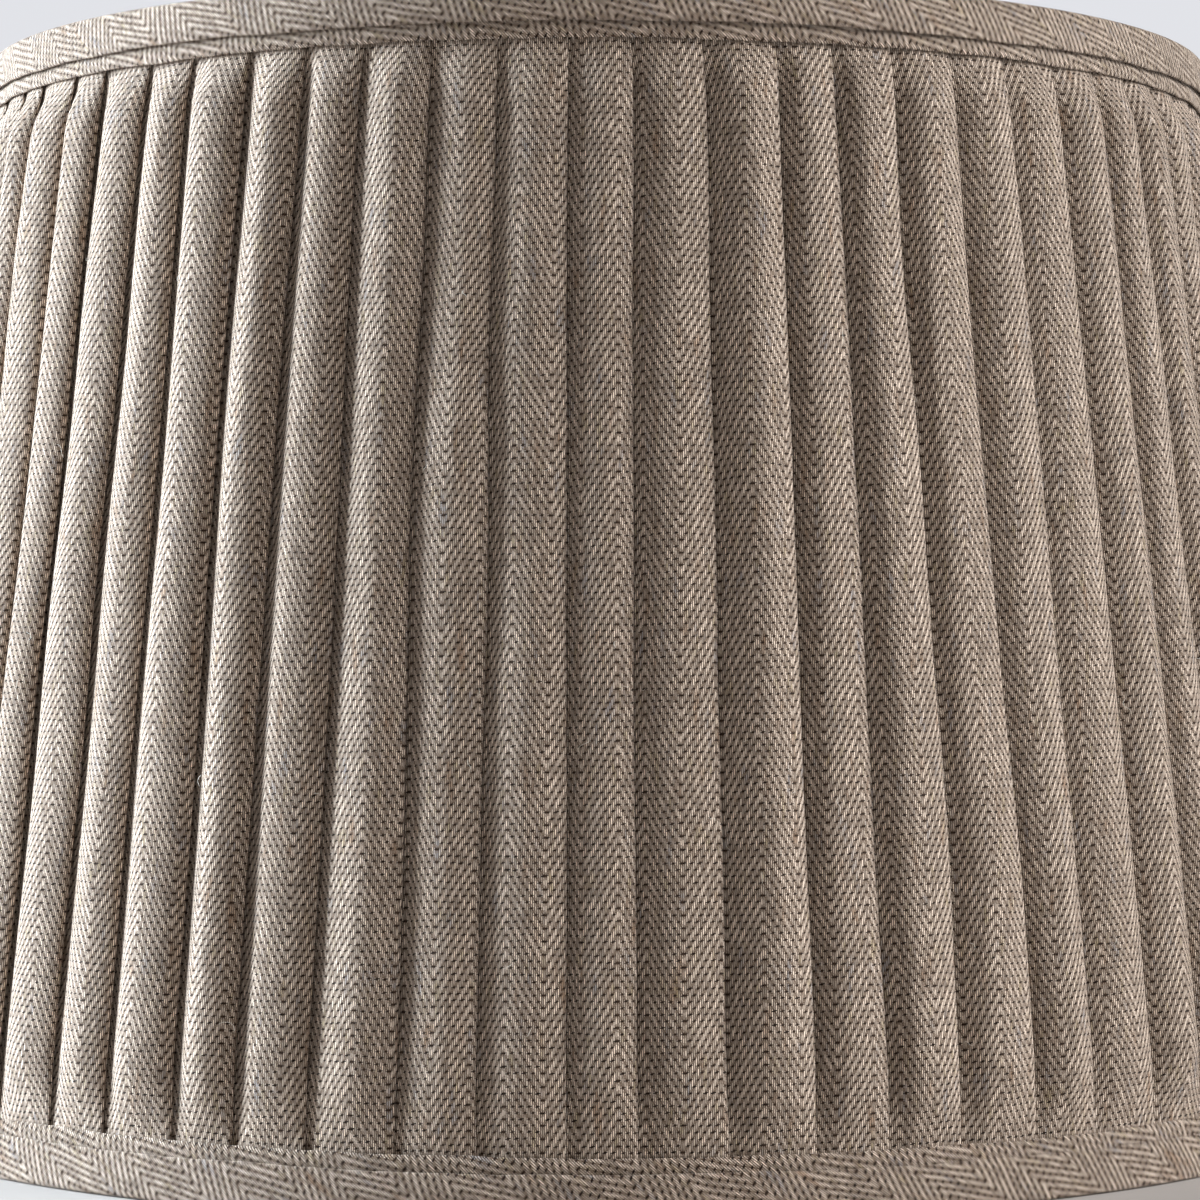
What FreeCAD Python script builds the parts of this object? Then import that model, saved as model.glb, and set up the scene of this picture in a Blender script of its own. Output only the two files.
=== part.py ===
import FreeCAD, Part
import math
import os

import Sketcher

# A tapered softback lamp shade: a wire frame of two rings and their ribs, a three-arm
# spider with a washer that sits on a harp, a fabric lining inside, knife-pleated cloth
# outside in two sewn panels, and a narrow and a wide bias-cut trim at each rim.
# Millimetres, +Z up, origin at the centre of the bottom rim's plane.

doc = FreeCAD.newDocument("lamp_shade")

SIZES = {
    # overall, over the rings' wire
    "top_diameter": 355.6,
    "bottom_diameter": 431.8,
    "slant_height": 304.8,
    # wire frame
    "ring_wire": 3.0,
    "rib_wire": 2.4,
    "rib_count": 8,
    # room between a ring's wire and the cloth, for the tape wound round the wire
    "tape_room": 0.5,
    # spider and its washer
    "arm_wire": 3.0,
    "arm_count": 3,
    "arm_level_run": 24.0,
    "arm_bend": 14.0,
    "arm_hub_run": 7.0,
    "hub_recess": 12.7,
    "arm_seat": 0.3,
    "washer_diameter": 25.4,
    "washer_bore": 11.12,
    "washer_thickness": 1.6,
    "stud_clearance": 0.9,
    # cloth
    "cloth_clearance": 0.1,
    "lining_thickness": 0.4,
    "pleats_pressed": 1.9,
    "pleats_full": 6.4,
    "pleat_rise": 24.0,
    # trims
    "trim_thickness": 0.6,
    "wide_trim": 10.5,
    "narrow_show": 4.0,
    "trim_turn_in": 8.0,
    "rim_round": 1.0,
    "arm_clearance": 0.3,
}

sizes = doc.addObject("Spreadsheet::Sheet", "Sizes")
for row, (name, value) in enumerate(SIZES.items(), start=1):
    sizes.set(f"A{row}", name)
    sizes.set(f"B{row}", str(value))
    sizes.setAlias(f"B{row}", name)
doc.recompute()

# ---- where things lie, as expressions of the sheet ----
# The wall runs straight from the bottom ring's wire to the top ring's. A point is given
# by how far it is along that line from the bottom ring, and how far it is out from it.

TOP_RING_RADIUS = "((Sizes.top_diameter - Sizes.ring_wire) / 2)"
BOTTOM_RING_RADIUS = "((Sizes.bottom_diameter - Sizes.ring_wire) / 2)"
LEAN_SIN = f"(({BOTTOM_RING_RADIUS} - {TOP_RING_RADIUS}) / Sizes.slant_height)"
LEAN_COS = f"sqrt(1 - {LEAN_SIN} * {LEAN_SIN})"
RING_FACE = "(Sizes.ring_wire / 2 + Sizes.tape_room)"
RIM_REACH = f"({RING_FACE} + Sizes.trim_thickness)"
TOP_RING_HEIGHT = f"({RIM_REACH} + Sizes.slant_height * {LEAN_COS})"
RIM_HEIGHT = f"({TOP_RING_HEIGHT} + {RIM_REACH})"

LINING_BACK = f"({RING_FACE} + Sizes.lining_thickness)"
TURN_IN_FACE = f"({LINING_BACK} + Sizes.cloth_clearance)"
TURN_IN_BACK = f"({TURN_IN_FACE} + Sizes.trim_thickness)"
PLEATS_PRESSED = f"({RING_FACE} + Sizes.pleats_pressed)"
PLEATS_FULL = f"({RING_FACE} + Sizes.pleats_full)"
NARROW_FACE = f"({PLEATS_PRESSED} + Sizes.cloth_clearance)"
NARROW_BACK = f"({NARROW_FACE} + Sizes.trim_thickness)"
WIDE_FACE = f"({NARROW_BACK} + Sizes.cloth_clearance)"
WIDE_BACK = f"({WIDE_FACE} + Sizes.trim_thickness)"


def radius_at(along, out):
    """Radius of a point on the wall's section."""
    return f"({BOTTOM_RING_RADIUS} - ({along}) * {LEAN_SIN} + ({out}) * {LEAN_COS})"


def height_at(along, out):
    """Height of a point on the wall's section."""
    return f"({RIM_REACH} + ({along}) * {LEAN_COS} + ({out}) * {LEAN_SIN})"


def wall_point(along, out):
    """A point on the wall's section, as its radius and its height."""
    return radius_at(along, out), height_at(along, out)


def level_point(height, out, inset="0"):
    """The point at a height on the line that runs beside the wall, moved in level."""
    along = f"(({height} - {RIM_REACH} - ({out}) * {LEAN_SIN}) / {LEAN_COS})"
    return f"({radius_at(along, out)} - ({inset}))", height


def value_of(expression):
    """The present value of an expression of the sheet."""
    found = sizes.evalExpression(expression)
    return float(getattr(found, "Value", found))


def plane_of(body, role):
    """One of a body's own origin planes."""
    return next(p for p in body.Origin.OriginFeatures if p.Role == role)


def new_sketch(body, name, role):
    """A sketch on one of its body's origin planes."""
    sketch = body.newObject("Sketcher::SketchObject", name)
    sketch.AttachmentSupport = [(plane_of(body, role), "")]
    sketch.MapMode = "FlatFace"
    return sketch


def bind(sketch, kind, places, expression, name):
    """Add a dimension that follows an expression of the sheet."""
    index = sketch.addConstraint(Sketcher.Constraint(kind, *places, value_of(expression)))
    sketch.renameConstraint(index, name)
    sketch.setExpression(f"Constraints.{name}", expression)
    return index


def section_sketch(body, name, corners):
    """A closed outline on the XZ plane whose corners follow the sheet."""
    sketch = new_sketch(body, name, "XZ_Plane")
    points = [FreeCAD.Vector(value_of(x), value_of(z), 0) for x, z in corners]
    count = len(points)
    for i, start in enumerate(points):
        sketch.addGeometry(Part.LineSegment(start, points[(i + 1) % count]), False)
    for i in range(count):
        sketch.addConstraint(Sketcher.Constraint("Coincident", i, 2, (i + 1) % count, 1))
    for i, (x, z) in enumerate(corners):
        bind(sketch, "DistanceX", (-1, 1, i, 1), x, f"corner_{i}_radius")
        if z == "0":
            sketch.addConstraint(Sketcher.Constraint("PointOnObject", i, 1, -1))
        else:
            bind(sketch, "DistanceY", (-1, 1, i, 1), z, f"corner_{i}_height")
    return sketch


def turned_body(label, corners, angle=360.0):
    """A body turned about the shade's axis from an outline."""
    body = doc.addObject("PartDesign::Body", label)
    sketch = section_sketch(body, f"{label}_section", corners)
    turn = body.newObject("PartDesign::Revolution", f"{label}_turn")
    turn.Profile = sketch
    turn.ReferenceAxis = (sketch, ["V_Axis"])
    turn.Angle = angle
    sketch.Visibility = False
    doc.recompute()
    return body


def about_axis(feature, step, count_name):
    """Place a feature at one of a number of equal steps about the shade's axis."""
    turn = f"{step} * 360 / Sizes.{count_name}"
    feature.setExpression("Placement", f"placement(vector(0; 0; 0); rotation({turn}; 0; 0))")


def together(label, shapes):
    """Several shapes as one, to cut with."""
    fuse = doc.addObject("Part::MultiFuse", label)
    fuse.Shapes = shapes
    return fuse


def less(label, base, tools):
    """A piece cut from a blank by one shape after another."""
    for i, tool in enumerate(tools, start=1):
        cut = doc.addObject("Part::Cut", label if i == len(tools) else f"{label}_cut_{i}")
        cut.Base = base
        cut.Tool = tool
        base = cut
    return base


nodes = []

# ---- rings: straight wire bent to a hoop and butt-welded ----

def hoop(label, ring_radius, height):
    """A round hoop of wire, level, about the shade's axis."""
    ring = doc.addObject("Part::Torus", label)
    ring.setExpression("Radius1", ring_radius)
    ring.setExpression("Radius2", "Sizes.ring_wire / 2")
    ring.setExpression("Placement.Base.z", height)
    return ring


top_ring = hoop("top_ring", TOP_RING_RADIUS, TOP_RING_HEIGHT)
bottom_ring = hoop("bottom_ring", BOTTOM_RING_RADIUS, RIM_REACH)
nodes += [top_ring, bottom_ring]

# ---- ribs: straight wires from ring to ring, their ends coped to the rings ----

# The first rib stands half a step round from +X, clear of the spider's arms.
RIB_PHASE = 0.5
rib_blank = doc.addObject("Part::Cylinder", "rib_blank")
rib_blank.setExpression("Radius", "Sizes.rib_wire / 2")
rib_blank.setExpression("Height", "Sizes.slant_height")
rib_foot = f"vector({BOTTOM_RING_RADIUS}; 0; {RIM_REACH})"
rib_blank.setExpression("Placement", f"placement({rib_foot}; rotation(0; -asin({LEAN_SIN}); 0))")
for i in range(int(sizes.rib_count)):
    rib = less(f"rib_{i + 1}", rib_blank, [bottom_ring, top_ring])
    about_axis(rib, i + RIB_PHASE, "rib_count")
    nodes.append(rib)

# ---- washer: a stamped disc with a hole for the harp's stud ----

HUB_HEIGHT = f"({TOP_RING_HEIGHT} - Sizes.hub_recess)"
WASHER_UNDERSIDE = f"({HUB_HEIGHT} + Sizes.arm_wire / 2 - Sizes.arm_seat)"

washer = doc.addObject("PartDesign::Body", "spider_washer")
washer_plan = new_sketch(washer, "washer_plan", "XY_Plane")
for i, diameter in enumerate(["washer_diameter", "washer_bore"]):
    radius = f"Sizes.{diameter} / 2"
    circle = Part.Circle(FreeCAD.Vector(), FreeCAD.Vector(0, 0, 1), value_of(radius))
    washer_plan.addGeometry(circle, False)
    washer_plan.addConstraint(Sketcher.Constraint("Coincident", i, 3, -1, 1))
    bind(washer_plan, "Radius", (i,), radius, f"{diameter}_radius")
washer_pad = washer.newObject("PartDesign::Pad", "washer_pad")
washer_pad.Profile = washer_plan
washer_pad.setExpression("Length", "Sizes.washer_thickness")
washer.setExpression("Placement.Base.z", WASHER_UNDERSIDE)
washer_plan.Visibility = False
doc.recompute()
nodes.append(washer)

# ---- spider arms: wire that leaves the ring level, drops, and runs level to the hub ----

ARM_TIP = "(Sizes.washer_bore / 2 + Sizes.stud_clearance)"


def arm_path(body):
    """Three straight runs joined by two tangent bends, on the XZ plane."""
    sketch = new_sketch(body, "arm_path", "XZ_Plane")
    start = FreeCAD.Vector(value_of(TOP_RING_RADIUS), value_of(TOP_RING_HEIGHT), 0)
    end = FreeCAD.Vector(value_of(ARM_TIP), value_of(HUB_HEIGHT), 0)
    first = start - FreeCAD.Vector(float(sizes.arm_level_run), 0, 0)
    last = end + FreeCAD.Vector(float(sizes.arm_hub_run), 0, 0)
    bend = float(sizes.arm_bend)
    # Both bends turn through the slope's angle, and the slope makes up the rest.
    across, drop = first.x - last.x, first.y - last.y
    reach = math.sqrt(across**2 + drop**2 - 4 * bend * drop)
    angle = 2 * math.atan2(drop, across + reach)
    upper = first - FreeCAD.Vector(0, bend, 0)
    lower = last + FreeCAD.Vector(0, bend, 0)
    quarter = math.pi / 2
    bend_1 = Part.ArcOfCircle(
        Part.Circle(upper, FreeCAD.Vector(0, 0, 1), bend), quarter, quarter + angle
    )
    bend_2 = Part.ArcOfCircle(
        Part.Circle(lower, FreeCAD.Vector(0, 0, 1), bend), -quarter, angle - quarter
    )
    sketch.addGeometry(Part.LineSegment(start, first), False)
    sketch.addGeometry(bend_1, False)
    sketch.addGeometry(Part.LineSegment(bend_1.EndPoint, bend_2.EndPoint), False)
    sketch.addGeometry(bend_2, False)
    sketch.addGeometry(Part.LineSegment(last, end), False)
    for place in [(0, 2, 1, 1), (1, 2, 2, 1), (2, 2, 3, 2), (3, 1, 4, 1)]:
        sketch.addConstraint(Sketcher.Constraint("Tangent", *place))
    sketch.addConstraint(Sketcher.Constraint("Horizontal", 0))
    sketch.addConstraint(Sketcher.Constraint("Horizontal", 4))
    bind(sketch, "DistanceX", (-1, 1, 0, 1), TOP_RING_RADIUS, "ring_radius")
    bind(sketch, "DistanceY", (-1, 1, 0, 1), TOP_RING_HEIGHT, "ring_height")
    bind(sketch, "DistanceX", (-1, 1, 4, 2), ARM_TIP, "tip_radius")
    bind(sketch, "DistanceY", (-1, 1, 4, 2), HUB_HEIGHT, "hub_height")
    bind(sketch, "Radius", (1,), "Sizes.arm_bend", "upper_bend")
    bind(sketch, "Radius", (3,), "Sizes.arm_bend", "lower_bend")
    bind(sketch, "DistanceX", (0, 2, 0, 1), "Sizes.arm_level_run", "level_run")
    bind(sketch, "DistanceX", (4, 2, 4, 1), "Sizes.arm_hub_run", "hub_run")
    return sketch


arm_blank = doc.addObject("PartDesign::Body", "arm_blank")
path = arm_path(arm_blank)
arm_section = new_sketch(arm_blank, "arm_section", "YZ_Plane")
arm_section.setExpression("AttachmentOffset.Base.z", TOP_RING_RADIUS)
arm_section.setExpression("AttachmentOffset.Base.y", TOP_RING_HEIGHT)
wire = Part.Circle(FreeCAD.Vector(), FreeCAD.Vector(0, 0, 1), float(sizes.arm_wire) / 2)
arm_section.addGeometry(wire, False)
arm_section.addConstraint(Sketcher.Constraint("Coincident", 0, 3, -1, 1))
bind(arm_section, "Radius", (0,), "Sizes.arm_wire / 2", "wire_radius")
doc.recompute()
arm_pipe = arm_blank.newObject("PartDesign::AdditivePipe", "arm_pipe")
arm_pipe.Profile = arm_section
arm_pipe.Spine = path
doc.recompute()

# The first arm stands a quarter of a step round from +X.
ARM_PHASE = 0.25
for i in range(int(sizes.arm_count)):
    arm = less(f"spider_arm_{i + 1}", arm_blank, [top_ring, washer])
    about_axis(arm, i + ARM_PHASE, "arm_count")
    nodes.append(arm)

# ---- slots: room for the spider arms where they pass through the cloth ----

arm_slots = []
for i in range(int(sizes.arm_count)):
    slot = doc.addObject("Part::Cylinder", f"arm_slot_{i + 1}")
    slot.setExpression("Radius", "Sizes.arm_wire / 2 + Sizes.arm_clearance")
    slot.setExpression("Height", "Sizes.arm_level_run")
    turn = f"({i + ARM_PHASE}) * 360 / Sizes.arm_count"
    across = f"{TOP_RING_RADIUS} * cos({turn}); {TOP_RING_RADIUS} * sin({turn})"
    start = f"vector({across}; {TOP_RING_HEIGHT})"
    slot.setExpression("Placement", f"placement({start}; rotation({turn}; -90; 0))")
    arm_slots.append(slot)
all_arm_slots = together("all_arm_slots", arm_slots)

# ---- lining: thin cloth stretched inside the ribs ----

lining_blank = turned_body(
    "lining_blank",
    [
        wall_point("0", f"-{RING_FACE}"),
        wall_point("Sizes.slant_height", f"-{RING_FACE}"),
        wall_point("Sizes.slant_height", f"-{LINING_BACK}"),
        wall_point("0", f"-{LINING_BACK}"),
    ],
)
nodes.append(less("lining", lining_blank, [all_arm_slots]))

# ---- pleated cover: two sewn panels, pressed flat under the trims and full between ----

PRESSED_BELOW = "(Sizes.wide_trim + Sizes.narrow_show)"
FULL_BELOW = f"({PRESSED_BELOW} + Sizes.pleat_rise)"
cover_section = [
    wall_point("0", RING_FACE),
    wall_point("0", PLEATS_PRESSED),
    wall_point(PRESSED_BELOW, PLEATS_PRESSED),
    wall_point(FULL_BELOW, PLEATS_FULL),
    wall_point(f"(Sizes.slant_height - {FULL_BELOW})", PLEATS_FULL),
    wall_point(f"(Sizes.slant_height - {PRESSED_BELOW})", PLEATS_PRESSED),
    wall_point("Sizes.slant_height", PLEATS_PRESSED),
    wall_point("Sizes.slant_height", RING_FACE),
]
HALF_TURN = 180.0
for label, wanted_side in {"pleated_cover_front": -1, "pleated_cover_back": 1}.items():
    panel = turned_body(label, cover_section, HALF_TURN)
    turn = 0.0 if panel.Shape.BoundBox.Center.y * wanted_side > 0 else HALF_TURN
    panel.Placement = FreeCAD.Placement(
        FreeCAD.Vector(), FreeCAD.Rotation(FreeCAD.Vector(0, 0, 1), turn)
    )
    nodes.append(panel)

# ---- narrow trims: flat bias strips that show beyond the wide ones ----

NARROW_END = f"(Sizes.wide_trim + Sizes.narrow_show - {RIM_REACH})"
narrow_spans = {
    "bottom_trim_narrow": ("0", NARROW_END),
    "top_trim_narrow": (f"(Sizes.slant_height - {NARROW_END})", "Sizes.slant_height"),
}
for label, (low, high) in narrow_spans.items():
    strip = [
        wall_point(low, NARROW_FACE),
        wall_point(low, NARROW_BACK),
        wall_point(high, NARROW_BACK),
        wall_point(high, NARROW_FACE),
    ]
    nodes.append(turned_body(label, strip))

# ---- wide trims: bias binding folded over each rim, outer leg, edge and turned-in leg ----

def binding_section(edge, bed, shoulder, outer_end, inner_end):
    """The folded binding's outline: edge is the rim's height, bed the fold's inner face."""
    return [
        wall_point(outer_end, WIDE_FACE),
        wall_point(outer_end, WIDE_BACK),
        level_point(shoulder, WIDE_BACK),
        level_point(edge, WIDE_BACK, "Sizes.rim_round"),
        level_point(edge, f"-{TURN_IN_BACK}", "-Sizes.rim_round"),
        level_point(shoulder, f"-{TURN_IN_BACK}"),
        wall_point(inner_end, f"-{TURN_IN_BACK}"),
        wall_point(inner_end, f"-{TURN_IN_FACE}"),
        level_point(bed, f"-{TURN_IN_FACE}"),
        level_point(bed, WIDE_FACE),
    ]


OUTER_END = f"(Sizes.wide_trim - {RIM_REACH})"
INNER_END = f"(Sizes.trim_turn_in - {RIM_REACH})"
bottom_binding = binding_section("0", "Sizes.trim_thickness", "Sizes.rim_round", OUTER_END, INNER_END)
nodes.append(turned_body("bottom_trim_wide", bottom_binding))

top_binding = binding_section(
    RIM_HEIGHT,
    f"({RIM_HEIGHT} - Sizes.trim_thickness)",
    f"({RIM_HEIGHT} - Sizes.rim_round)",
    f"(Sizes.slant_height - {OUTER_END})",
    f"(Sizes.slant_height - {INNER_END})",
)
top_binding_blank = turned_body("top_trim_wide_blank", top_binding)
nodes.append(less("top_trim_wide", top_binding_blank, [all_arm_slots]))

# ---- check every object, then write one file for each piece ----

doc.recompute()
faults = [
    o.Name for o in doc.Objects if any(word in o.State for word in ("Invalid", "Error"))
]
faults += [n.Label for n in nodes if n.Shape.isNull() or not n.Shape.isValid()]
if faults:
    raise RuntimeError(f"failed pieces: {faults}")

os.makedirs("parts", exist_ok=True)
for node in nodes:
    node.Shape.exportStep(f"parts/{node.Label}.step")
    print(node.Label, len(node.Shape.Solids), round(node.Shape.Volume, 1))
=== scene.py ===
import bpy
import numpy as np
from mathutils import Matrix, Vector


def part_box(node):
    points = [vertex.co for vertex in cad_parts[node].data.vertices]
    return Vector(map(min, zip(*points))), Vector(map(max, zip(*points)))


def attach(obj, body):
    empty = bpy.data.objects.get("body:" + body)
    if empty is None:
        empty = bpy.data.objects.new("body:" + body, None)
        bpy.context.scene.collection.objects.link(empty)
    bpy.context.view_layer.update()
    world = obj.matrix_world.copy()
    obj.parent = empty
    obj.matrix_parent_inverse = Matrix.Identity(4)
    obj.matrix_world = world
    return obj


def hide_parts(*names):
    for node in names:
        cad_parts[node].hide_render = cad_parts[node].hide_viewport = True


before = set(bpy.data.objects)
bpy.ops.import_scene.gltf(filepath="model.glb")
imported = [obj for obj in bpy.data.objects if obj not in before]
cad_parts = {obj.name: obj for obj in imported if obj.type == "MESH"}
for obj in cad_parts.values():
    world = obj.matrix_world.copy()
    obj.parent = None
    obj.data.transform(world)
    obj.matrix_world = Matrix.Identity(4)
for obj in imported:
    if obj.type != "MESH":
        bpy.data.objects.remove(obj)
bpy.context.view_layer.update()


# ---------------------------------------------------------------------------------------
# Wire frame: two hoops and eight ribs of steel wire, spot-welded where they meet, and a
# three-armed spider whose stamped washer sits on the lamp's harp. It is plated in brass,
# a little dulled by handling.

BRASS_BRIGHT = (0.72, 0.55, 0.30, 1.0)
BRASS_DULL = (0.55, 0.41, 0.225, 1.0)
TARNISH_SCALE = 90.0
DRAWING_SCALE = 1400.0


def join(tree, value, socket):
    """Put a number, colour or another node's output on a socket."""
    if isinstance(value, bpy.types.NodeSocket):
        tree.links.new(value, socket)
    else:
        socket.default_value = value


def sums(tree, operation, *values):
    """Add a Math node and give its output."""
    node = tree.nodes.new("ShaderNodeMath")
    node.operation = operation
    for value, socket in zip(values, node.inputs):
        join(tree, value, socket)
    return node.outputs[0]


def ramp(tree, value, low, high, to_low=0.0, to_high=1.0):
    """Ease a value from one range into another, held at both ends."""
    node = tree.nodes.new("ShaderNodeMapRange")
    node.interpolation_type = "SMOOTHSTEP"
    for given, socket in zip((value, low, high, to_low, to_high), node.inputs):
        join(tree, given, socket)
    return node.outputs[0]


def blend(tree, share, first, second, kind="MIX"):
    """Mix two colours."""
    node = tree.nodes.new("ShaderNodeMix")
    node.data_type = "RGBA"
    node.blend_type = kind
    for given, socket in zip((share, first, second), (node.inputs[0], node.inputs[6], node.inputs[7])):
        join(tree, given, socket)
    return node.outputs[2]


def cloud(tree, place, scale, detail=2.0):
    """Soft noise of a given scale."""
    node = tree.nodes.new("ShaderNodeTexNoise")
    join(tree, place, node.inputs["Vector"])
    node.inputs["Scale"].default_value = scale
    node.inputs["Detail"].default_value = detail
    return node.outputs["Fac"]


def new_material(name, **constants):
    """A material with one Principled shader, whose even values are set on its sockets."""
    material = bpy.data.materials.new(name)
    material.use_nodes = True
    tree = material.node_tree
    shader = tree.nodes["Principled BSDF"]
    for socket, value in constants.items():
        shader.inputs[socket.replace("_", " ")].default_value = value
    return material, tree, shader


def relief(tree, shader, height, depth, strength=1.0):
    """Raise the shader's surface by a height from nought to one times a depth in metres."""
    bump = tree.nodes.new("ShaderNodeBump")
    bump.inputs["Strength"].default_value = strength
    bump.inputs["Distance"].default_value = depth
    tree.links.new(height, bump.inputs["Height"])
    tree.links.new(bump.outputs["Normal"], shader.inputs["Normal"])


plated_wire, tree, shader = new_material("plated wire", Metallic=1.0)
place = tree.nodes.new("ShaderNodeTexCoord").outputs["Object"]
tarnish = ramp(tree, cloud(tree, place, TARNISH_SCALE, 4.0), 0.32, 0.80)
drawn = cloud(tree, place, DRAWING_SCALE)
tree.links.new(blend(tree, tarnish, BRASS_BRIGHT, BRASS_DULL), shader.inputs["Base Color"])
tree.links.new(sums(tree, "MULTIPLY_ADD", tarnish, 0.12, 0.34), shader.inputs["Roughness"])
relief(tree, shader, drawn, 0.0001, 0.12)

wire_names = [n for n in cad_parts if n.startswith(("rib_", "spider_")) or n.endswith("_ring")]
for name in wire_names:
    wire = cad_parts[name]
    wire.data.materials.clear()
    wire.data.materials.append(plated_wire)


# ---------------------------------------------------------------------------------------
# Lining: one length of thin off-white cotton, plain woven, stretched from ring to ring
# inside the ribs and sewn down, so that it shows faint upright strains near both rings.

foot_low, foot_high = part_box("bottom_ring")
head_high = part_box("top_ring")[1]
WIRE = (foot_high[2] - foot_low[2]) / 2
FOOT_RADIUS = foot_high[0] - WIRE
FOOT_HEIGHT = foot_high[2] - WIRE
HEAD_RADIUS = head_high[0] - WIRE
HEAD_HEIGHT = head_high[2] - WIRE
SLANT = np.hypot(FOOT_RADIUS - HEAD_RADIUS, HEAD_HEIGHT - FOOT_HEIGHT)
LEAN_SIN = (FOOT_RADIUS - HEAD_RADIUS) / SLANT
LEAN_COS = (HEAD_HEIGHT - FOOT_HEIGHT) / SLANT
MM = 0.001


def on_wall(angle, along, out):
    """Points of the wall. A point is so far along the slant from the bottom ring's wire,
    and so far out, square to it; its angle turns about the shade's axis from the front."""
    radius = FOOT_RADIUS - along * LEAN_SIN + out * LEAN_COS
    height = FOOT_HEIGHT + along * LEAN_COS + out * LEAN_SIN
    angle, radius, height = np.broadcast_arrays(angle, radius, height)
    return np.stack([radius * np.sin(angle), -radius * np.cos(angle), height], axis=-1)


def ease(x):
    """Smooth step: 3x^2 - 2x^3 between nought and one."""
    x = np.clip(x, 0.0, 1.0)
    return x * x * (3.0 - 2.0 * x)


def in_scene(name, data):
    """Put a mesh, a lamp or a camera in the scene as an object."""
    holder = bpy.data.objects.new(name, data)
    bpy.context.scene.collection.objects.link(holder)
    return holder


def cloth_piece(name, points, cloth, material, round_rows=False, round_columns=False):
    """A mesh of four-cornered faces over a grid of points, rows by columns. The cloth map
    has each grid corner's place on the flat cloth, in metres; a grid closed on itself has
    one more row or column of map than of points."""
    rows, columns = points.shape[:2]
    row, column = np.meshgrid(
        np.arange(rows - (not round_rows)), np.arange(columns - (not round_columns)), indexing="ij"
    )
    corner_rows = np.stack([row, row, row + 1, row + 1], axis=-1)
    corner_columns = np.stack([column, column + 1, column + 1, column], axis=-1)
    faces = (corner_rows % rows) * columns + corner_columns % columns
    mesh = bpy.data.meshes.new(name)
    mesh.from_pydata(points.reshape(-1, 3), [], faces.reshape(-1, 4).tolist())
    layer = mesh.uv_layers.new(name="cloth")
    layer.data.foreach_set("uv", cloth[corner_rows, corner_columns].ravel())
    mesh.polygons.foreach_set("use_smooth", np.ones(len(mesh.polygons), dtype=bool))
    mesh.materials.append(material)
    return in_scene(name, mesh)


def point(tree, x, y, z=0.0):
    """Three numbers as one vector."""
    node = tree.nodes.new("ShaderNodeCombineXYZ")
    for given, socket in zip((x, y, z), node.inputs):
        join(tree, given, socket)
    return node.outputs[0]


def new_group(name, inputs, outputs):
    """Start a shader group with named inputs, each with its default, and outputs."""
    group = bpy.data.node_groups.new(name, "ShaderNodeTree")
    kinds = {float: "NodeSocketFloat", tuple: "NodeSocketColor", type(None): "NodeSocketVector"}
    for label, value in inputs.items():
        socket = group.interface.new_socket(label, in_out="INPUT", socket_type=kinds[type(value)])
        if value is not None:
            socket.default_value = value
    for label, kind in outputs.items():
        group.interface.new_socket(label, in_out="OUTPUT", socket_type=kind)
    return group, group.nodes.new("NodeGroupInput").outputs, group.nodes.new("NodeGroupOutput").inputs


plain_weave, given, result = new_group(
    "plain weave",
    {
        "Cloth": None,
        "Threads per metre": 2400.0,
        "Yarn": (0.80, 0.77, 0.70, 1.0),
        "Gap": (0.42, 0.38, 0.31, 1.0),
    },
    {"Color": "NodeSocketColor", "Height": "NodeSocketFloat"},
)
w = plain_weave
parts = w.nodes.new("ShaderNodeSeparateXYZ")
w.links.new(given["Cloth"], parts.inputs[0])
across = sums(w, "MULTIPLY", parts.outputs[0], given["Threads per metre"])
up = sums(w, "MULTIPLY", parts.outputs[1], given["Threads per metre"])
crown_across = sums(w, "ABSOLUTE", sums(w, "SINE", sums(w, "MULTIPLY", across, np.pi)))
crown_up = sums(w, "ABSOLUTE", sums(w, "SINE", sums(w, "MULTIPLY", up, np.pi)))
crossing = sums(w, "ADD", sums(w, "FLOOR", across), sums(w, "FLOOR", up))
over = sums(w, "LESS_THAN", sums(w, "FLOORED_MODULO", crossing, 2.0), 0.5)
warp_over = sums(w, "MULTIPLY", crown_across, over)
weft_over = sums(w, "MULTIPLY", crown_up, sums(w, "SUBTRACT", 1.0, over))
woven = sums(w, "ADD", warp_over, weft_over)
slubs = cloud(w, point(w, sums(w, "MULTIPLY", across, 0.9), sums(w, "MULTIPLY", up, 0.03)), 1.0, 3.0)
# The yarns are coloured by their crowns: darker towards their edges and in the gaps between them,
# painted shade of the rounded yarns; the slubs are the yarn's own.
shown = sums(w, "MULTIPLY", ramp(w, woven, 0.1, 0.75), sums(w, "MULTIPLY_ADD", slubs, 0.35, 0.78))
w.links.new(blend(w, shown, given["Gap"], given["Yarn"]), result["Color"])
w.links.new(woven, result["Height"])


def weave_node(tree, group, **values):
    """Place a weave group that reads the piece's own cloth map."""
    cloth = tree.nodes.new("ShaderNodeUVMap")
    cloth.uv_map = "cloth"
    node = tree.nodes.new("ShaderNodeGroup")
    node.node_tree = group
    tree.links.new(cloth.outputs["UV"], node.inputs["Cloth"])
    for label, value in values.items():
        node.inputs[label.replace("_", " ")].default_value = value
    return node.outputs


lining_cotton, tree, shader = new_material(
    "lining cotton", Roughness=0.82, Sheen_Weight=0.15, Specular_IOR_Level=0.25
)
woven = weave_node(tree, plain_weave)
tree.links.new(woven["Color"], shader.inputs["Base Color"])
relief(tree, shader, woven["Height"], 0.0001, 0.5)

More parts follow.
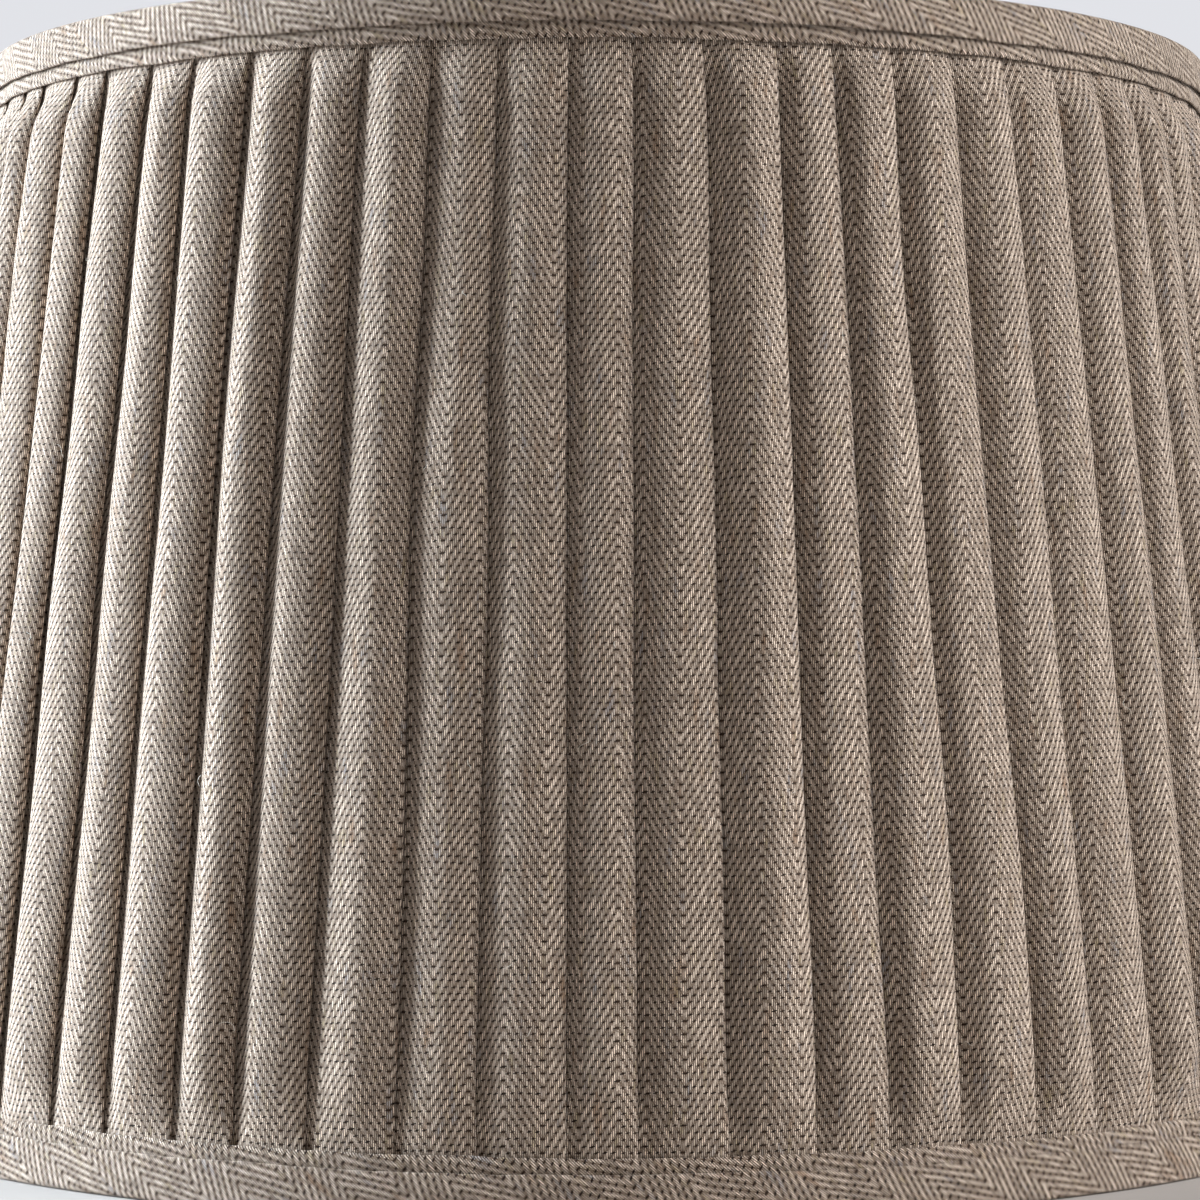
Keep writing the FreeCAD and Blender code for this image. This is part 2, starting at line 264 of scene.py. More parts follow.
LINING_OUT = -2.2 * MM
HIDDEN_FOOT = 0.4 * MM
HIDDEN_TOP = 2.6 * MM
BELLY_DEPTH = 0.30 * MM
BELLY_STARTS = 30 * MM
STRAIN_FADES = 38 * MM
STRAIN_COUNTS = (37, 53, 71, 94, 118)
angle = np.linspace(0.0, 2.0 * np.pi, 721)[:-1]
along = np.linspace(HIDDEN_FOOT, SLANT - HIDDEN_TOP, 60)[:, None]
strain_phase = np.random.default_rng(11).uniform(0.0, 2.0 * np.pi, 5)
strain = sum(np.sin(count * angle + phase) for count, phase in zip(STRAIN_COUNTS, strain_phase)) / 5.0
near_rings = np.exp(-along / STRAIN_FADES) + np.exp(-(SLANT - along) / STRAIN_FADES)
belly = ease(along / BELLY_STARTS) * ease((SLANT - along) / BELLY_STARTS)
strained = LINING_OUT - BELLY_DEPTH * belly * (1.0 + near_rings * strain[None, :] * 1.6)
turned = np.append(angle, 2.0 * np.pi)
lining_map = np.stack(np.broadcast_arrays(turned[None, :] * FOOT_RADIUS, along), axis=-1)
lining = cloth_piece("cotton_lining", on_wall(angle, along, strained), lining_map, lining_cotton,
                     round_columns=True)
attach(lining, "root")
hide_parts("lining")


# ---------------------------------------------------------------------------------------
# Herringbone cloth: the weave of the cover and its trims. Pale, tight warp over a weft
# whose picks are dark and pale by turns, in a four-end twill that turns back on itself
# every nineteen ends. Each dark pick shows as a short dash between the warp's floats.

herringbone, given, result = new_group(
    "herringbone weave",
    {
        "Cloth": None,
        "End pitch": 0.00051,
        "Pick pitch": 0.00080,
        "Column ends": 19.0,
        "First column": 0.0,
        "Warp": (0.72, 0.585, 0.475, 1.0),
        # Between: the ground between the warp floats, the weft beneath with painted shade in the
        # grooves.
        "Between": (0.090, 0.052, 0.031, 1.0),
        "Dark weft": (0.010, 0.005, 0.003, 1.0),
        "Pale weft": (0.26, 0.195, 0.145, 1.0),
        "Tints": 1.0,
    },
    {"Color": "NodeSocketColor", "Height": "NodeSocketFloat"},
)
g = herringbone
parts = g.nodes.new("ShaderNodeSeparateXYZ")
g.links.new(given["Cloth"], parts.inputs[0])
drift = cloud(g, given["Cloth"], 55.0, 1.0)
drift_up = cloud(g, point(g, parts.outputs[1], parts.outputs[0], 3.0), 70.0, 1.0)
end = sums(g, "DIVIDE", sums(g, "SUBTRACT", parts.outputs[0], given["First column"]), given["End pitch"])
end = sums(g, "ADD", end, sums(g, "MULTIPLY_ADD", drift, 2.4, -1.2))
pick = sums(g, "DIVIDE", parts.outputs[1], given["Pick pitch"])
pick = sums(g, "ADD", pick, sums(g, "MULTIPLY_ADD", drift_up, 2.0, -1.0))

# The threading runs up to the column's edge and back down again.
threaded = sums(g, "PINGPONG", end, given["Column ends"])
column = sums(g, "FLOOR", sums(g, "DIVIDE", end, given["Column ends"]))
backwards = sums(g, "FLOORED_MODULO", column, 2.0)
this_end = sums(g, "FLOOR", threaded)
this_pick = sums(g, "FLOOR", pick)
aside = sums(g, "SUBTRACT", sums(g, "SUBTRACT", threaded, this_end), 0.5)
above = sums(g, "SUBTRACT", sums(g, "SUBTRACT", pick, this_pick), 0.5)

# Weft dashes: the nearest crossing in this pick, and its own chance size.
past_end = sums(g, "SUBTRACT", threaded, 0.5)
from_dash = sums(g, "WRAP", sums(g, "SUBTRACT", past_end, this_pick), 2.0, -2.0)
dash_end = sums(g, "ADD", sums(g, "ROUND", sums(g, "SUBTRACT", threaded, from_dash)),
                sums(g, "MULTIPLY", column, 37.0))
chance = g.nodes.new("ShaderNodeTexWhiteNoise")
chance.noise_dimensions = "2D"
g.links.new(point(g, dash_end, this_pick), chance.inputs["Vector"])
chances = g.nodes.new("ShaderNodeSeparateXYZ")
g.links.new(chance.outputs["Color"], chances.inputs[0])
lean = sums(g, "MULTIPLY", sums(g, "MULTIPLY_ADD", backwards, -2.0, 1.0), 0.13)
tilted = sums(g, "SUBTRACT", above, sums(g, "MULTIPLY", from_dash, lean))
reach = sums(g, "MULTIPLY_ADD", chances.outputs[0], 0.40, 1.04)
thick = sums(g, "MULTIPLY_ADD", chances.outputs[1], 0.10, 0.19)
oval = sums(
    g, "ADD",
    sums(g, "POWER", sums(g, "ABSOLUTE", sums(g, "DIVIDE", from_dash, reach)), 2.6),
    sums(g, "POWER", sums(g, "ABSOLUTE", sums(g, "DIVIDE", tilted, thick)), 2.2),
)
dash = ramp(g, oval, 0.75, 1.35, 1.0, 0.0)
pale_row = sums(g, "FLOORED_MODULO", this_pick, 2.0)
dark_dash = sums(g, "MULTIPLY", dash, sums(g, "SUBTRACT", 1.0, pale_row))
pale_dash = sums(g, "MULTIPLY", ramp(g, oval, 1.0, 2.8, 1.0, 0.0), pale_row)

# Warp floats: each end shows over three picks and dips under the fourth.
past_pick = sums(g, "SUBTRACT", pick, 0.5)
from_dip = sums(g, "ABSOLUTE", sums(g, "WRAP", sums(g, "SUBTRACT", past_pick, this_end), 2.0, -2.0))
afloat = ramp(g, from_dip, 0.12, 0.76)
narrow = ramp(g, from_dip, 0.3, 1.3, 0.16, 0.31)
side = sums(g, "ABSOLUTE", aside)
yarn = ramp(g, side, sums(g, "SUBTRACT", narrow, 0.10), sums(g, "ADD", narrow, 0.07), 1.0, 0.0)
warp_shown = sums(g, "MULTIPLY", yarn, afloat)

# Yarn colour: each end and each float differs a little, and some lengths are tinted.
end_chance = g.nodes.new("ShaderNodeTexWhiteNoise")
end_chance.noise_dimensions = "2D"
float_number = sums(g, "FLOOR", sums(g, "DIVIDE", sums(g, "SUBTRACT", pick, this_end), 4.0))
g.links.new(point(g, sums(g, "FLOOR", end), float_number), end_chance.inputs["Vector"])
streak = cloud(g, point(g, sums(g, "MULTIPLY", end, 0.55), sums(g, "MULTIPLY", pick, 0.035)), 1.0, 3.0)
mottle = cloud(g, given["Cloth"], 34.0, 3.0)
tone = sums(g, "MULTIPLY_ADD", end_chance.outputs["Value"], 0.80, 0.37)
tone = sums(g, "ADD", tone, sums(g, "MULTIPLY_ADD", streak, 0.50, -0.10))
tone = sums(g, "MULTIPLY", tone, sums(g, "MULTIPLY_ADD", mottle, 0.36, 0.82))
toned = g.nodes.new("ShaderNodeVectorMath")
toned.operation = "SCALE"
g.links.new(given["Warp"], toned.inputs[0])
g.links.new(tone, toned.inputs["Scale"])
warp_colour = toned.outputs[0]
tint_place = point(g, sums(g, "MULTIPLY", end, 0.16), sums(g, "MULTIPLY", pick, 0.05), 7.0)
tint = cloud(g, tint_place, 1.0, 2.0)
RUST = (0.36, 0.19, 0.09, 1.0)
SLATE = (0.30, 0.31, 0.34, 1.0)
STRAW = (0.46, 0.36, 0.18, 1.0)
rusty = sums(g, "MULTIPLY", ramp(g, tint, 0.60, 0.74, 0.0, 0.55), given["Tints"])
slaty = sums(g, "MULTIPLY", ramp(g, tint, 0.40, 0.27, 0.0, 0.55), given["Tints"])
fine_tint = cloud(g, tint_place, 1.7, 2.0)
strawy = sums(g, "MULTIPLY", ramp(g, fine_tint, 0.59, 0.74, 0.0, 0.50), given["Tints"])
warp_colour = blend(g, rusty, warp_colour, RUST)
warp_colour = blend(g, slaty, warp_colour, SLATE)
warp_colour = blend(g, strawy, warp_colour, STRAW)

# The warp lies over a near-black brown ground, and the pale weft is set a mid-brown: the weft's own
# colour with painted shade in the grooves between the yarns.
colour = blend(g, warp_shown, given["Between"], warp_colour)
colour = blend(g, sums(g, "MULTIPLY", pale_dash, 0.75), colour, given["Pale weft"])
darkness = sums(g, "MULTIPLY_ADD", chances.outputs[2], 0.35, 0.66)
colour = blend(g, sums(g, "MULTIPLY", dark_dash, darkness), colour, given["Dark weft"])
g.links.new(colour, result["Color"])
height = sums(g, "ADD", sums(g, "MULTIPLY", warp_shown, sums(g, "MULTIPLY_ADD", from_dip, 0.2, 0.5)),
              sums(g, "MULTIPLY", pale_dash, 0.55))
height = sums(g, "ADD", height, sums(g, "MULTIPLY", dark_dash, 0.30))
g.links.new(height, result["Height"])


def herringbone_cloth(name, first_column, warp):
    """A material of the shade's cloth in one shade of warp, its herringbone columns
    starting where given."""
    material, tree, shader = new_material(
        name, Roughness=0.9, Sheen_Weight=0.06, Sheen_Roughness=0.5, Specular_IOR_Level=0.12
    )
    woven = weave_node(tree, herringbone, First_column=first_column, Warp=warp)
    tree.links.new(woven["Color"], shader.inputs["Base Color"])
    relief(tree, shader, woven["Height"], 0.00035, 0.8)
    return material


# ---------------------------------------------------------------------------------------
# Pleated cover: two panels of the herringbone, laid by hand in knife pleats that all turn
# the same way, pressed flat and stitched at both rings and left to stand full between
# them. The panels meet in a seam hidden inside a fold at each side.

PLEATS = 65
CLOTH_PER_PLEAT = 31.7 * MM
LAYER = 0.45 * MM
COVER_OUT = 2.0 * MM
PRESSED_RISE = 0.10 * MM
FULL_RISE = 3.0 * MM
FOLD_STAND = 1.7 * MM
GRAIN_DRIFT = 1.8 * MM
WANDER = 0.42 * MM
# The pleats stay pressed flat this far from each ring, and stand full after so much more.
PRESSED_FOOT = 8.5 * MM
PRESSED_HEAD = 9 * MM
FOOT_OPENS = 24 * MM
HEAD_OPENS = 18 * MM
# The fold edges are laid by eye, each a fraction of a degree off its even place.
FOLD_OFF = 0.34
FRONT_FOLD = 33
FRONT_FOLD_ANGLE = -2.5
chance = np.random.default_rng(1937)


def fold_angles(off):
    """Angles of the fold edges at a ring: even steps round it, each moved by the degrees
    given, and the first one again at the end to close the round."""
    edges = FRONT_FOLD_ANGLE + (np.arange(PLEATS) - FRONT_FOLD) * 360.0 / PLEATS + off
    return np.radians(np.append(edges, edges[0] + 360.0))


# A fold that is off at the top tends to be off the same way at the bottom.
top_off = FOLD_OFF * chance.standard_normal(PLEATS).clip(-1.6, 1.6)
bottom_off = 0.6 * top_off + 0.8 * FOLD_OFF * chance.standard_normal(PLEATS).clip(-1.6, 1.6)
top_folds = fold_angles(top_off)
bottom_folds = fold_angles(bottom_off)
ROWS = 68
POINTS = 42
cover_along = np.linspace(0.5 * MM, SLANT - 0.5 * MM, ROWS)[:, None]
up_share = cover_along / SLANT
fold = bottom_folds + (top_folds - bottom_folds) * up_share
wave_phase = chance.uniform(0.0, 2.0 * np.pi, (3, PLEATS))
wave_size = chance.normal(0.0, 1.0, (3, PLEATS))
stand_chance = 1.0 + 0.13 * chance.standard_normal(PLEATS).clip(-1.5, 1.5)
crest_chance = 0.045 * chance.standard_normal(PLEATS).clip(-1.5, 1.5)


def slow_wave(order):
    """A slow sideways wave up each pleat: three sines of growing count, each smaller."""
    counts = np.array([1.0, 1.9, 3.1]) + order
    turns = 2.0 * np.pi * counts[:, None, None] * up_share[None] + wave_phase[:, None, :]
    return (wave_size[:, None, :] * np.sin(turns) / counts[:, None, None]).sum(axis=0)


foot_fullness = ease((cover_along - PRESSED_FOOT) / FOOT_OPENS)
head_fullness = ease((SLANT - cover_along - PRESSED_HEAD) / HEAD_OPENS)
fullness = foot_fullness * head_fullness
wander = WANDER * fullness * slow_wave(0.0) / (FOOT_RADIUS - cover_along * LEAN_SIN)
wander = np.concatenate([wander, wander[:, :1]], axis=1)
fold = fold + wander
level_radius = FOOT_RADIUS - cover_along * LEAN_SIN + COVER_OUT
width = np.diff(fold, axis=1) * level_radius
stand = fullness * stand_chance * (1.0 + 0.10 * slow_wave(0.6))
crest = 0.47 + crest_chance + 0.03 * slow_wave(0.3)


def pleat_controls(depth):
    """Control points of one pleat's section, as across and out, on every row and pleat:
    from the hidden inner fold, out from under the last pleat's edge, steeply up to the
    crest, gently down to the fold edge, and back beneath it to the next inner fold."""
    low = 0.25 * MM
    edge = low + 2.0 * LAYER + FOLD_STAND * stand
    peak = edge + PRESSED_RISE + FULL_RISE * stand
    rise = peak - low
    back = low + LAYER * (1.0 + 1.1 * stand)
    across_out = [
        (-1.00 * depth, low + 0.10 * MM),
        (-0.55 * depth, low),
        (-0.10 * MM, low + 0.06 * rise),
        (0.07 * width, low + 0.13 * rise),
        (0.195 * width, low + 0.56 * rise),
        ((crest - 0.13) * width, low + 0.91 * rise),
        ((crest + 0.06) * width, peak),
        (0.71 * width, edge + 0.84 * (peak - edge)),
        (0.875 * width, edge + 0.52 * (peak - edge)),
        (0.985 * width, edge + 0.08 * (peak - edge)),
        (width + 0.35 * MM, edge - LAYER - 0.30 * FOLD_STAND * stand),
        (0.95 * width, edge - 1.3 * LAYER - 0.36 * FOLD_STAND * stand),
        (width - 0.50 * depth, back + 0.20 * MM * stand),
        (width - depth - 0.55 * MM, back),
        (width - depth - 0.55 * MM, low + 0.20 * MM),
    ]
    blank = np.zeros(width.shape)
    spread = [np.stack(np.broadcast_arrays(x, y, blank)[:2], axis=-1) for x, y in across_out]
    return np.stack(spread, axis=2)


def spline_weights(t):
    """Six times the weights of a cubic B-spline's four neighbours, t of the way from the
    second to the third: (1-t)^3, 3t^3-6t^2+4, 1+3t+3t^2-3t^3 and t^3."""
    return (1 - t) ** 3, 3 * t**3 - 6 * t**2 + 4, 1 + 3 * t + 3 * t**2 - 3 * t**3, t**3


def even_curve(controls):
    """Cubic B-spline guided by a closed row of control points, and how many times round
    the row each of its points has gone."""
    count = controls.shape[1]
    per_pleat = count // PLEATS
    at = np.arange(PLEATS * POINTS + 1) * per_pleat / POINTS
    first = np.floor(at).astype(int)
    weights = spline_weights((at - first)[None, :, None])
    picked = [controls[:, (first + k - 1) % count] for k in range(4)]
    lap = [((first + k - 1) // count)[None, :] for k in range(4)]
    curve = sum(weight * place for weight, place in zip(weights, picked)) / 6.0
    laps = sum(weight[..., 0] * times for weight, times in zip(weights, lap)) / 6.0
    return curve, laps


def pleated_curve(depth):
    """The section of the whole cover on every row: angle and distance out."""
    controls = pleat_controls(depth)
    angles = fold[:, :-1, None] + controls[..., 0] / level_radius[:, :, None]
    together = np.stack([angles, controls[..., 1]], axis=-1).reshape(ROWS, -1, 2)
    curve, laps = even_curve(together)
    return curve[..., 0] + 2.0 * np.pi * laps, curve[..., 1]


def lengths(angles, out):
    """Length of cloth from each point of the section to the next."""
    return np.hypot(np.diff(angles, axis=1) * (level_radius + out[:, 1:]), np.diff(out, axis=1))


# Each pleat takes the same cloth at top and bottom, so what doesn't show is folded under.
depth = (CLOTH_PER_PLEAT - 1.06 * width) / 2.0
for _ in range(4):
    cover_angle, cover_out = pleated_curve(depth)
    step = lengths(cover_angle, cover_out)
    taken = step.reshape(ROWS, PLEATS, POINTS).sum(axis=2)
    depth = depth + (CLOTH_PER_PLEAT - taken) / 2.0
share = np.cumsum(step.reshape(ROWS, PLEATS, POINTS), axis=2) / taken[:, :, None]
cloth_across = (share + np.arange(PLEATS)[None, :, None]).reshape(ROWS, -1) * CLOTH_PER_PLEAT
cloth_across = np.concatenate([np.zeros((ROWS, 1)), cloth_across], axis=1)
cloth_across = cloth_across + GRAIN_DRIFT * (1.0 - up_share)
cover_points = on_wall(cover_angle, cover_along, COVER_OUT + cover_out)
cover_map = np.stack(np.broadcast_arrays(cloth_across, cover_along), axis=-1)

FIRST_COLUMN = FRONT_FOLD * CLOTH_PER_PLEAT + 9.9 * MM
cover_cloth = herringbone_cloth("herringbone cover cloth", FIRST_COLUMN, (0.72, 0.585, 0.475, 1.0))
FRONT_PLEATS = (16, 49)
front = slice(FRONT_PLEATS[0] * POINTS, FRONT_PLEATS[1] * POINTS + 1)
late = slice(FRONT_PLEATS[1] * POINTS, PLEATS * POINTS)
early = slice(0, FRONT_PLEATS[0] * POINTS + 1)
whole_cloth = np.array([PLEATS * CLOTH_PER_PLEAT, 0.0])
panels = {
    "front": (cover_points[:, front], cover_map[:, front]),
    "back": (
        np.concatenate([cover_points[:, late], cover_points[:, early]], axis=1),
        np.concatenate([cover_map[:, late], cover_map[:, early] + whole_cloth], axis=1),
    ),
}
for side, (points, cloth) in panels.items():
    panel = cloth_piece(f"pleated_panel_{side}", points, cloth, cover_cloth)
    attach(panel, "root")
    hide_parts(f"pleated_cover_{side}")


# ---------------------------------------------------------------------------------------
# Narrow trims: strips of the same cloth cut on the bias, both edges turned under, laid
# round the shade over the pleats' ends. Only the edge that the wide trim leaves shows.

CLOTH_HALF = 0.28 * MM
NARROW_OUT = 4.75 * MM
HEM_GAP = 0.62 * MM
EDGE_REACH = 9 * MM
PLEAT_STEP = 0.14 * MM
# How far the rim stands past its ring's wire centre, and the free edges from the rim.
RIM_REACH = 2.6 * MM
NARROW_EDGE = 14.5 * MM - RIM_REACH
WIDE_EDGE = 10.5 * MM - RIM_REACH


def smooth_line(corners, steps=2):
    """Cubic B-spline along a few corner points, with its ends on the first and last."""
    padded = np.concatenate([2 * corners[:1] - corners[1:2], corners, 2 * corners[-1:] - corners[-2:-1]])
    at = np.arange((len(corners) - 1) * steps + 1) / steps
    first = np.minimum(np.floor(at).astype(int), len(corners) - 2)
    weights = spline_weights((at - first)[:, None])
    return sum(weight * padded[first + k] for k, weight in enumerate(weights)) / 6.0


def ribbon_section(line):
    """Outline of a strip of cloth seen end on: its middle line set off to both sides."""
    direction = np.gradient(line, axis=0)
    direction /= np.linalg.norm(direction, axis=1, keepdims=True)
    sideways = np.stack([direction[:, 1], -direction[:, 0]], axis=1) * CLOTH_HALF
    run = np.concatenate([[0.0], np.cumsum(np.linalg.norm(np.diff(line, axis=0), axis=1))])
    outline = np.concatenate([line + sideways, (line - sideways)[::-1]])
    return outline, np.concatenate([run, run[::-1]])


def bias_map(angle, radius, run, stretch, shear, first):
    """Place on the cloth of a strip cut at forty-five degrees: the way round the rim,
    eased by the strip's stretch and skewed by its shear, and the way across the strip,
    turned by an eighth of a circle."""
    across = run[:, None]
    round_rim = angle[None, :] * radius / stretch + shear * across + first
    root = np.sqrt(0.5)
    return np.stack([(round_rim + across) * root, (across - round_rim) * root], axis=-1)


def trim_piece(name, node, line, edge_along, radius, stretch, shear, first, seed, angle, notch=None):
    """A folded bias strip: its section carried round the rim, its free edge wandering a
    little, and the pleats beneath it showing through as shallow steps."""
    outline, run = ribbon_section(line)
    wobble = np.random.default_rng(seed)
    phases = wobble.uniform(0.0, 2.0 * np.pi, (2, 6))
    counts = np.array([7, 13, 22, 35, 51, 76])
    sizes = np.array([0.30, 0.28, 0.26, 0.20, 0.16, 0.12]) * MM / 1.6
    turns = counts[:, None] * angle[None, :]
    waves = [(sizes[:, None] * np.sin(turns + phase[:, None])).sum(axis=0) for phase in phases]
    near_edge = ease(1.0 - np.abs(outline[:, :1] - edge_along) / EDGE_REACH) * (outline[:, 1:] > 0)
    along = outline[:, :1] + 0.55 * waves[0][None, :] * near_edge
    folds = top_folds if edge_along > SLANT / 2 else bottom_folds
    number = np.interp((angle + np.pi) % (2 * np.pi) - np.pi, folds, np.arange(PLEATS + 1))
    step_shape = (number % 1.0) ** 2
    step_shape = np.convolve(np.tile(step_shape, 3), np.ones(7) / 7, "same")[len(angle):2 * len(angle)]
    out = outline[:, 1:] + (0.35 * waves[1] + PLEAT_STEP * step_shape)[None, :] * near_edge
    if notch is not None:
        along = notch(along, out)
    turned = np.append(angle, 2 * np.pi)
    shear = shear + 0.15 * np.sin(turned + 0.2)
    cloth = bias_map(turned, radius, np.append(run, run[0]), stretch, shear[None, :], first)
    points = on_wall(angle, along, out)
    piece = cloth_piece(name, points, cloth, shaded_trim_cloth, round_rows=True, round_columns=True)
    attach(piece, "root")
    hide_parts(node)
    return piece


# The trims are the same cloth as the cover, but their warp is set darker: painted shade that dims the
# trims against the pleats.
shaded_trim_cloth = herringbone_cloth("herringbone trim cloth painted darker", 0.0, (0.65, 0.53, 0.43, 1.0))
round_angle = np.linspace(-np.pi, np.pi, 841)[:-1]
TOP_STRETCH = 1.02
BOTTOM_STRETCH = 1.06


def narrow_line(free, hidden):
    """Middle line of the narrow strip, hem to hem: turned under at its free edge and at
    the edge that the wide trim hides."""
    inner, outer = NARROW_OUT - HEM_GAP, NARROW_OUT
    way = np.sign(free - hidden)
    return np.array([
        (free - way * 4.5 * MM, inner),
        (free - way * 2.6 * MM, inner),
        (free - way * 0.9 * MM, inner),
        (free - way * 0.10 * MM, inner + 0.05 * MM),
        (free + way * 0.08 * MM, (inner + outer) / 2),
        (free - way * 0.25 * MM, outer - 0.06 * MM),
        (free - way * 1.1 * MM, outer + 0.22 * MM),
        (free - way * 2.3 * MM, outer + 0.34 * MM),
        (free - way * 3.6 * MM, outer + 0.10 * MM),
        (free - way * 4.8 * MM, outer),
        ((free + hidden) / 2 - way * 1.5 * MM, outer),
        (hidden + way * 1.0 * MM, outer),
        (hidden + way * 0.15 * MM, outer - 0.02 * MM),
        (hidden, (inner + outer) / 2),
        (hidden + way * 0.15 * MM, inner + 0.02 * MM),
        (hidden + way * 1.0 * MM, inner),
        (hidden + way * 3.5 * MM, inner),
    ])


narrow_bottom = smooth_line(narrow_line(NARROW_EDGE, 0.8 * MM))[::-1]
narrow_top = smooth_line(narrow_line(SLANT - NARROW_EDGE, SLANT - 0.8 * MM))
trim_piece("narrow_trim_bottom", "bottom_trim_narrow", narrow_bottom, NARROW_EDGE,
           FOOT_RADIUS, BOTTOM_STRETCH, 0.06, 0.004, 21, round_angle)
trim_piece("narrow_trim_top", "top_trim_narrow", narrow_top, SLANT - NARROW_EDGE,
           HEAD_RADIUS, TOP_STRETCH, 0.04, 0.009, 22, round_angle)


# ---------------------------------------------------------------------------------------
# Wide trims: wider bias strips of the cloth, folded over each rim to bind it, with both
# edges turned under. The top one is slit on the inside where the spider's arms pass.

WIDE_OUT = 6.55 * MM
WIDE_CROWN = 0.25 * MM
TURN_IN = -3.15 * MM
TURN_IN_EDGE = 8.0 * MM - RIM_REACH
RIM_FACE = 0.22 * MM


def wide_line():
    """Middle line of the wide strip over the bottom rim: hem, free edge, outer leg, the
    rim's flat edge, inner leg, its free edge and hem."""
    inner = WIDE_OUT - HEM_GAP

    def rim_along(out, lift=0.0):
        return (RIM_FACE + lift - FOOT_HEIGHT - out * LEAN_SIN) / LEAN_COS

    return np.array([
        (WIDE_EDGE - 5.0 * MM, inner),
        (WIDE_EDGE - 2.8 * MM, inner),
        (WIDE_EDGE - 0.9 * MM, inner),
        (WIDE_EDGE - 0.10 * MM, inner + 0.05 * MM),
        (WIDE_EDGE + 0.08 * MM, WIDE_OUT - HEM_GAP / 2),
        (WIDE_EDGE - 0.25 * MM, WIDE_OUT - 0.04 * MM),
        (WIDE_EDGE - 1.2 * MM, WIDE_OUT + 0.5 * WIDE_CROWN),
        (WIDE_EDGE - 3.5 * MM, WIDE_OUT + WIDE_CROWN),
        (WIDE_EDGE - 6.5 * MM, WIDE_OUT + 0.6 * WIDE_CROWN),
        (rim_along(WIDE_OUT, 1.4 * MM), WIDE_OUT),
        (rim_along(WIDE_OUT, 0.35 * MM), WIDE_OUT - 0.15 * MM),
        (rim_along(4.6 * MM), 4.6 * MM),
        (rim_along(1.5 * MM), 1.5 * MM),
        (rim_along(-1.6 * MM), -1.6 * MM),
        (rim_along(-2.75 * MM, 0.25 * MM), -2.75 * MM),
        (rim_along(TURN_IN, 1.3 * MM), TURN_IN),
        (0.8 * MM, TURN_IN),
        (3.0 * MM, TURN_IN),
        (TURN_IN_EDGE - 1.0 * MM, TURN_IN),
        (TURN_IN_EDGE - 0.15 * MM, TURN_IN + 0.02 * MM),
        (TURN_IN_EDGE, TURN_IN + HEM_GAP / 2),
        (TURN_IN_EDGE - 0.15 * MM, TURN_IN + HEM_GAP - 0.02 * MM),
        (TURN_IN_EDGE - 1.0 * MM, TURN_IN + HEM_GAP),
        (TURN_IN_EDGE - 3.5 * MM, TURN_IN + HEM_GAP),
    ])


def top_from_bottom(line):
    """The same fold over the top rim: turned end for end along the slant."""
    flipped = line.copy()
    flipped[:, 0] = SLANT - line[:, 0]
    return flipped


ARM_ANGLES = []
for name in sorted(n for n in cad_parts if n.startswith("spider_arm")):
    low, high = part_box(name)
    reach = [max((low[k], high[k]), key=abs) for k in (0, 1)]
    ARM_ANGLES.append(np.arctan2(reach[0], -reach[1]))
SLIT_HALF = 2.3 * MM
SLIT_ROUNDS = 0.9 * MM
SLIT_LEFT = 0.07
close_angles = [a + np.linspace(-5, 5, 41) * MM / HEAD_RADIUS for a in ARM_ANGLES]
slit_angle = np.unique(np.round(np.concatenate([round_angle] + close_angles), 6))


def arm_slit(along, out):
    """Draw the inner leg up short over each arm, so that the arm passes under it."""
    away = [np.abs((slit_angle - arm + np.pi) % (2 * np.pi) - np.pi) for arm in ARM_ANGLES]
    gap = np.min(away, axis=0) * HEAD_RADIUS
    kept = SLIT_LEFT + (1.0 - SLIT_LEFT) * ease((gap - SLIT_HALF) / SLIT_ROUNDS)
    rim = SLANT + RIM_REACH - 0.4 * MM
    return np.where(out < -2.0 * MM, rim + (along - rim) * kept[None, :], along)


wide_bottom = smooth_line(wide_line())[::-1]
wide_top = top_from_bottom(smooth_line(wide_line()))
trim_piece("wide_trim_bottom", "bottom_trim_wide", wide_bottom, WIDE_EDGE,
           FOOT_RADIUS, BOTTOM_STRETCH, 0.16, 0.013, 31, round_angle)
trim_piece("wide_trim_top", "top_trim_wide", wide_top, SLANT - WIDE_EDGE,
           HEAD_RADIUS, TOP_STRETCH, 0.10, 0.002, 32, slit_angle, arm_slit)


# ---------------------------------------------------------------------------------------
# Stray fibres: short pale ends of spun yarn that have worked loose and curl on the face of
# the cover. They are caught in the weave by one end.

FIBRES = 340
FIBRE_STEPS = 10
FIBRE_SIDES = 3
FIBRE_RADIUS = 0.055 * MM
loose = np.random.default_rng(404)
fibre_row = loose.integers(4, ROWS - 4, FIBRES)
fibre_column = loose.integers(0, PLEATS, FIBRES) * POINTS + loose.integers(9, 25, FIBRES)
root_point = cover_points[fibre_row, fibre_column]
upwards = cover_points[fibre_row + 1, fibre_column] - root_point
sideways = cover_points[fibre_row, fibre_column + 1] - root_point
upwards /= np.linalg.norm(upwards, axis=1, keepdims=True)
outwards = np.cross(sideways, upwards)
outwards /= np.linalg.norm(outwards, axis=1, keepdims=True)
sideways = np.cross(upwards, outwards)


